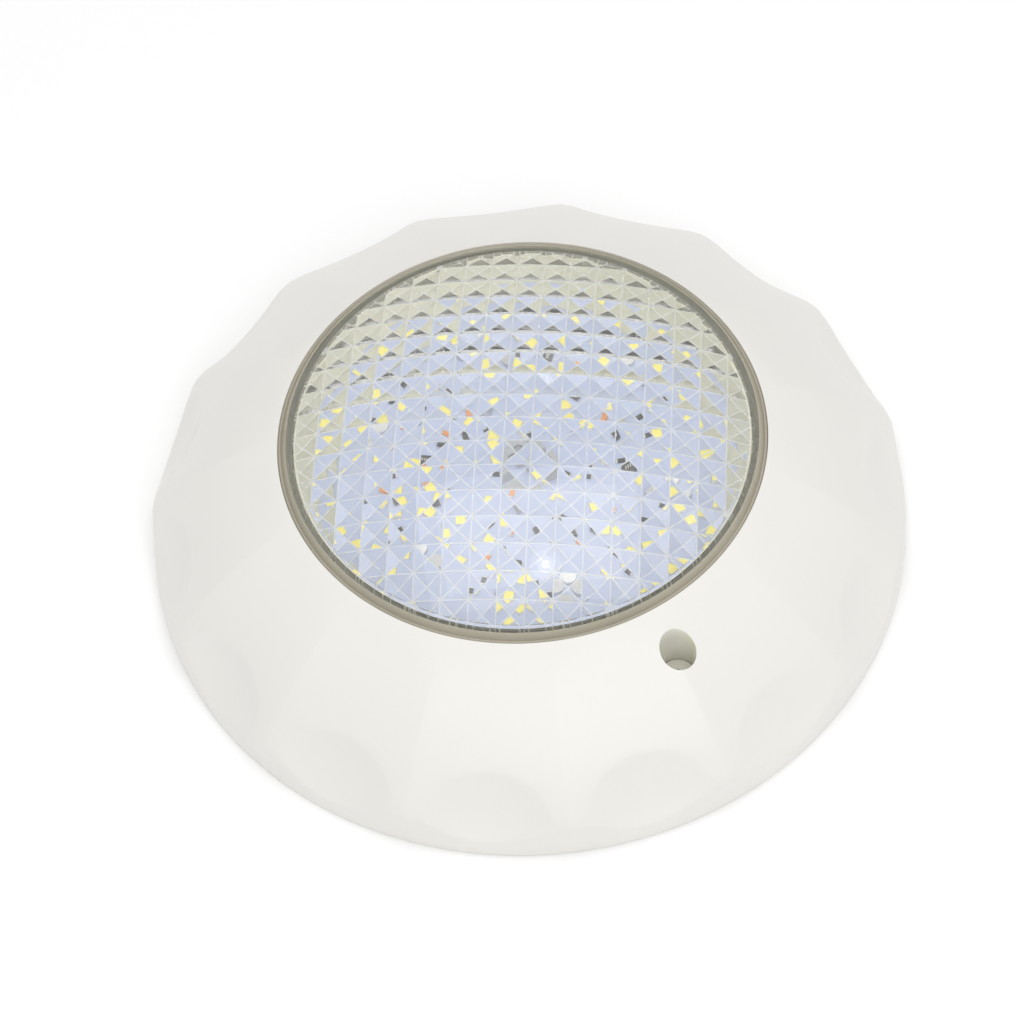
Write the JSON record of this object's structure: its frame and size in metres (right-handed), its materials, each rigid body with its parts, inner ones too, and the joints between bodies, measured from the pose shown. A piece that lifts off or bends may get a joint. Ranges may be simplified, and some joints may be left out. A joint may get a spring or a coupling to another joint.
{
  "type": "underwater pool light",
  "caption": "Round wall-mounted underwater pool light with a domed prismatic lens, scooped plastic face ring, sealed LED housing and screw-locked wall bracket.",
  "frame": {"origin": "centre of the wall bracket's back face, in the plane of the pool wall", "axes": "+Z out of the wall into the water along the lamp's axis; -Y towards the lock screw"},
  "size_m": [0.29, 0.29, 0.0775],
  "materials": {
    "white_abs": "glossy moulded plastic, faintly warm white",
    "clear_polycarbonate": "clear prismatic polycarbonate, smooth outside",
    "gasket_silicone": "translucent grey-beige silicone",
    "inner_abs": "satin off-white plastic",
    "board_enamel": "white solder mask over an aluminium core",
    "led_ceramic": "white moulded LED package",
    "phosphor": "yellow phosphor gel",
    "black_epoxy": "black moulded component bodies",
    "terminal_grey": "grey terminal block",
    "stainless": "stainless steel",
    "heat_aluminium": "milled aluminium plate",
    "black_rubber": "black rubber seal",
    "potting_epoxy": "cured dark potting epoxy",
    "gland_nylon": "dark grey nylon",
    "lead_insulation": "brown insulated core",
    "bracket_abs": "satin white moulded plastic",
    "brass_insert": "knurled brass insert"
  },
  "bodies": {
    "wall_bracket": {"wall_bracket": "bracket_abs", "lock_insert": "brass_insert"},
    "lamp": {"face_ring": "white_abs", "lens": "clear_polycarbonate", "lens_gasket": "gasket_silicone", "lens_clamp_ring": "inner_abs", "reflector_ring": "inner_abs", "led_board": "board_enamel", "led_packages": "led_ceramic", "led_phosphors": "phosphor", "driver_chips": "black_epoxy", "resistors": "black_epoxy", "terminal_block": "terminal_grey", "board_screws": "stainless", "heat_plate": "heat_aluminium", "rear_housing": "white_abs", "mount_skirt": "white_abs", "backing_ring": "white_abs", "housing_o_ring": "black_rubber", "housing_screws": "stainless", "potting_resin": "potting_epoxy", "gland_body": "gland_nylon", "gland_bush": "black_rubber", "gland_cap_nut": "gland_nylon", "supply_leads": "lead_insulation"},
    "lock_seal": {"lock_screw_seal": "black_rubber"},
    "lock_screw": {"lock_screw_head": "white_abs", "lock_screw_shank": "stainless"}
  },
  "joints": [
    {"name": "lamp_pull", "type": "slide", "parent": "wall_bracket", "child": "lamp", "axis": [0, 0, 1], "range_m": [0, 0.06]},
    {"name": "lock_travel", "type": "slide", "parent": "lamp", "child": "lock_seal", "axis": [0, 0, 1], "range_m": [0, 0.012]},
    {"name": "lock_turn", "type": "hinge", "parent": "lock_seal", "child": "lock_screw", "pos_m": [0, -0.106, 0.0294], "axis": [0, 0, 1], "range_deg": [0, 5400]}
  ],
  "couplings": [
    {"joint": "lock_travel", "follows": "lock_turn", "m_per_rad": 0.00012732}
  ]
}
